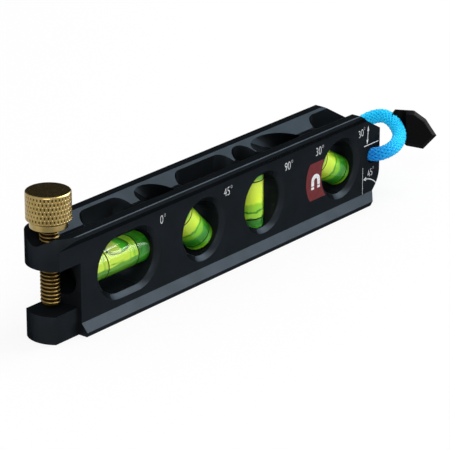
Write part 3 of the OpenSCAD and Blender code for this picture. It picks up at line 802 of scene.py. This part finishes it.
rings_tree = ring_tree()
for name, (place, length, end, rings_at, ring_width, low_side_shade, high_side_shade, lit_and_shaded_colours) in vials.items():
    bubble = level_bubble if name == "0" else None
    fluid = painted_fluid_material(f"spirit with painted light {name}", place, length, low_side_shade, high_side_shade, lit_and_shaded_colours, bubble)
    barrel = turned(f"barrel_{name}", [
        (0, 0), (vial_r - edge_width, 0), (vial_r, edge_width), (vial_r, length - plug_length),
        (vial_r, length - open_break), (vial_r - open_break, length + skin), (0, length + skin),
    ], 128, place)
    new_piece(f"vial_{name}_shell", barrel, acrylic, "level", "vial_clear", f"vial_{name}_barrel")
    barrel.materials.append(painted_glow_edge)
    barrel.materials.append(shade_painted_plug)
    # The acrylic over the plug takes the plug's painted shade, and the closed end's bevel the painted glow
    inverse = place.inverted()
    for face in barrel.polygons:
        spot = inverse @ face.center
        if spot.z > length - plug_length:
            face.material_index = 2
        elif Vector((spot.x, spot.y)).length > vial_r - 0.95 * edge_width and spot.z < edge_width:
            face.material_index = 1
    core = turned(f"end_{name}", [
        (0, 0.3 * MM), (vial_r - 1.4 * edge_width, 0.3 * MM), (chamber_r, edge_width),
        (chamber_r, end - 0.03 * MM), (0, end - 0.03 * MM),
    ], 96, place)
    new_piece(f"vial_{name}_end", core, fluid, "level", "vial_plug")
    spots = bpy.data.meshes.new("spots")
    spots.from_pydata([(0, 0, height * MM) for height in rings_at], [], [])
    rings = run_tree(rings_tree, spots, {"Radius": vial_r + 0.01 * MM, "Width": ring_width * MM,
                                         "Film": ring_film, "Material": black_line})
    rings.transform(place)
    new_piece(f"vial_{name}_rings", rings, black_line, "level", "vial_plug")
    for part, mat in (("plug", fluid if name == "0" else shade_painted_plug), ("fluid", fluid), ("bubble", fluid)):
        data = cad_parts[f"vial_{name}_{part}"].data
        data.materials.clear()
        data.materials.append(mat)


# Magnets: nickel plated discs, pressed into the base and level with it.
# The plating is bright, with fine scratches from the steel that the level is put down on.
nickel, tree, shader = new_material("nickel plating", Metallic=1.0, Roughness=0.25)
coords = add(tree, "ShaderNodeTexCoord")
scratch = add(tree, "ShaderNodeTexNoise", {"Vector": coords.outputs["Object"], "Scale": 0.9 / MM,
                                           "Detail": 5.0, "Distortion": 2.0})
tone = add(tree, "ShaderNodeValToRGB", {"Fac": scratch})
tone.color_ramp.elements[0].position = 0.4
tone.color_ramp.elements[0].color = linear("#a9adb1")
tone.color_ramp.elements[1].position = 0.6
tone.color_ramp.elements[1].color = linear("#c2c6ca")
tree.links.new(tone.outputs["Color"], shader.inputs["Base Color"])
shade_and_wear = add(tree, "ShaderNodeMapRange", {"Value": scratch, "To Min": 0.15, "To Max": 0.4})
tree.links.new(shade_and_wear.outputs["Result"], shader.inputs["Roughness"])
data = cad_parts["magnets"].data
data.materials.clear()
data.materials.append(nickel)


# Studio: a white sweep under and behind the level, soft boxes above, and white all round.
# The floor keeps the level's own soft shadow.
floor_size = 6.0
shaded_spot = Vector((-60, -45, 0)) * MM


def seen_sharply(tree, rays):
    """1 for what is seen straight, mirrored or through the acrylic, and 0 for the soft light."""
    seen = add(tree, "ShaderNodeMath", {0: rays.outputs["Is Camera Ray"], 1: rays.outputs["Is Glossy Ray"]},
               operation="MAXIMUM")
    return add(tree, "ShaderNodeMath", {0: seen, 1: rays.outputs["Is Transmission Ray"]}, operation="MAXIMUM")


bpy.ops.mesh.primitive_plane_add(size=floor_size, location=(0, 0, 0))
floor = bpy.context.object
floor.name = "floor"
paper = bpy.data.materials.new("white paper")
paper.use_nodes = True
tree = paper.node_tree
tree.nodes.clear()
rays = add(tree, "ShaderNodeLightPath")
shown = seen_sharply(tree, rays)
matt = add(tree, "ShaderNodeBsdfDiffuse", {"Color": linear("#e6e6e6")})
glow = add(tree, "ShaderNodeEmission", {"Color": (1, 1, 1, 1), "Strength": 1.0})
part = add(tree, "ShaderNodeMath", {0: shown, 1: 0.85}, operation="MULTIPLY")
# Beside the clamp the paper lies in the ears' shade, so its glow is dimmed there for reflections alone, as
# painted shade
spot = add(tree, "ShaderNodeNewGeometry")
away = add(tree, "ShaderNodeVectorMath", {0: spot.outputs["Position"], 1: shaded_spot}, operation="DISTANCE")
shade = add(tree, "ShaderNodeMapRange", {"Value": away.outputs["Value"], "From Min": 30 * MM,
                                         "From Max": 75 * MM, "To Min": 0.75, "To Max": 0.0},
            interpolation_type="SMOOTHSTEP")
shade = add(tree, "ShaderNodeMath", {0: shade, 1: rays.outputs["Is Glossy Ray"]},
            operation="MULTIPLY")
lit = add(tree, "ShaderNodeMath", {0: 1.0, 1: shade}, operation="SUBTRACT")
tree.links.new(lit.outputs[0], glow.inputs["Strength"])
mixed = add(tree, "ShaderNodeMixShader", {"Fac": part, 1: matt,
                                          2: glow})
add(tree, "ShaderNodeOutputMaterial", {"Surface": mixed})
floor.data.materials.append(paper)


def mirrored_patch(tree, rays, way, start, end, strength):
    """A soft round patch in one direction of the room, seen in reflections alone."""
    aim = add(tree, "ShaderNodeTexCoord")
    towards = add(tree, "ShaderNodeVectorMath", {0: aim.outputs["Generated"], 1: Vector(way).normalized()},
                  operation="DOT_PRODUCT")
    patch = add(tree, "ShaderNodeMapRange", {"Value": towards.outputs["Value"], "From Min": start,
                                             "From Max": end, "To Max": strength},
                interpolation_type="SMOOTHSTEP")
    return add(tree, "ShaderNodeMath", {0: patch, 1: rays.outputs["Is Glossy Ray"]}, operation="MULTIPLY")


world = bpy.data.worlds.new("studio")
bpy.context.scene.world = world
world.use_nodes = True
tree = world.node_tree
tree.nodes.clear()
rays = add(tree, "ShaderNodeLightPath")
level = add(tree, "ShaderNodeMapRange", {"Value": seen_sharply(tree, rays), "To Min": 0.68, "To Max": 1.0})
# A dark curtain low behind the table darkens what faces up, as it does in the photograph
curtain = mirrored_patch(tree, rays, (0.72, 0.59, 0.36), 0.73, 0.89, 0.98)
kept = add(tree, "ShaderNodeMath", {0: 1.0, 1: curtain}, operation="SUBTRACT")
level = add(tree, "ShaderNodeMath", {0: level, 1: kept}, operation="MULTIPLY")
# A tall bright window to the right lights what slopes up to the front
window = mirrored_patch(tree, rays, (0.72, -0.36, 0.6), 0.82, 0.94, 8.5)
level = add(tree, "ShaderNodeMath", {0: level, 1: window})
sky = add(tree, "ShaderNodeBackground", {"Color": (1, 1, 1, 1), "Strength": level})
add(tree, "ShaderNodeOutputWorld", {"Surface": sky})


def softbox(name, direction, distance, size, power):
    """A square lamp, in metres and watts, aimed at the level."""
    lamp = bpy.data.objects.new(name, bpy.data.lights.new(name, "AREA"))
    bpy.context.collection.objects.link(lamp)
    lamp.data.size = size
    lamp.data.energy = power
    lamp.location = look_at + Vector(direction).normalized() * distance
    lamp.rotation_mode = "QUATERNION"
    lamp.rotation_quaternion = (look_at - lamp.location).to_track_quat("-Z", "Y")


softbox("key softbox", (0.72, -0.2, 0.66), 1.1, 0.5, 7)
softbox("left softbox", (-0.8, -0.5, 0.7), 1.2, 0.6, 6)
bpy.context.scene.view_settings.view_transform = "Standard"
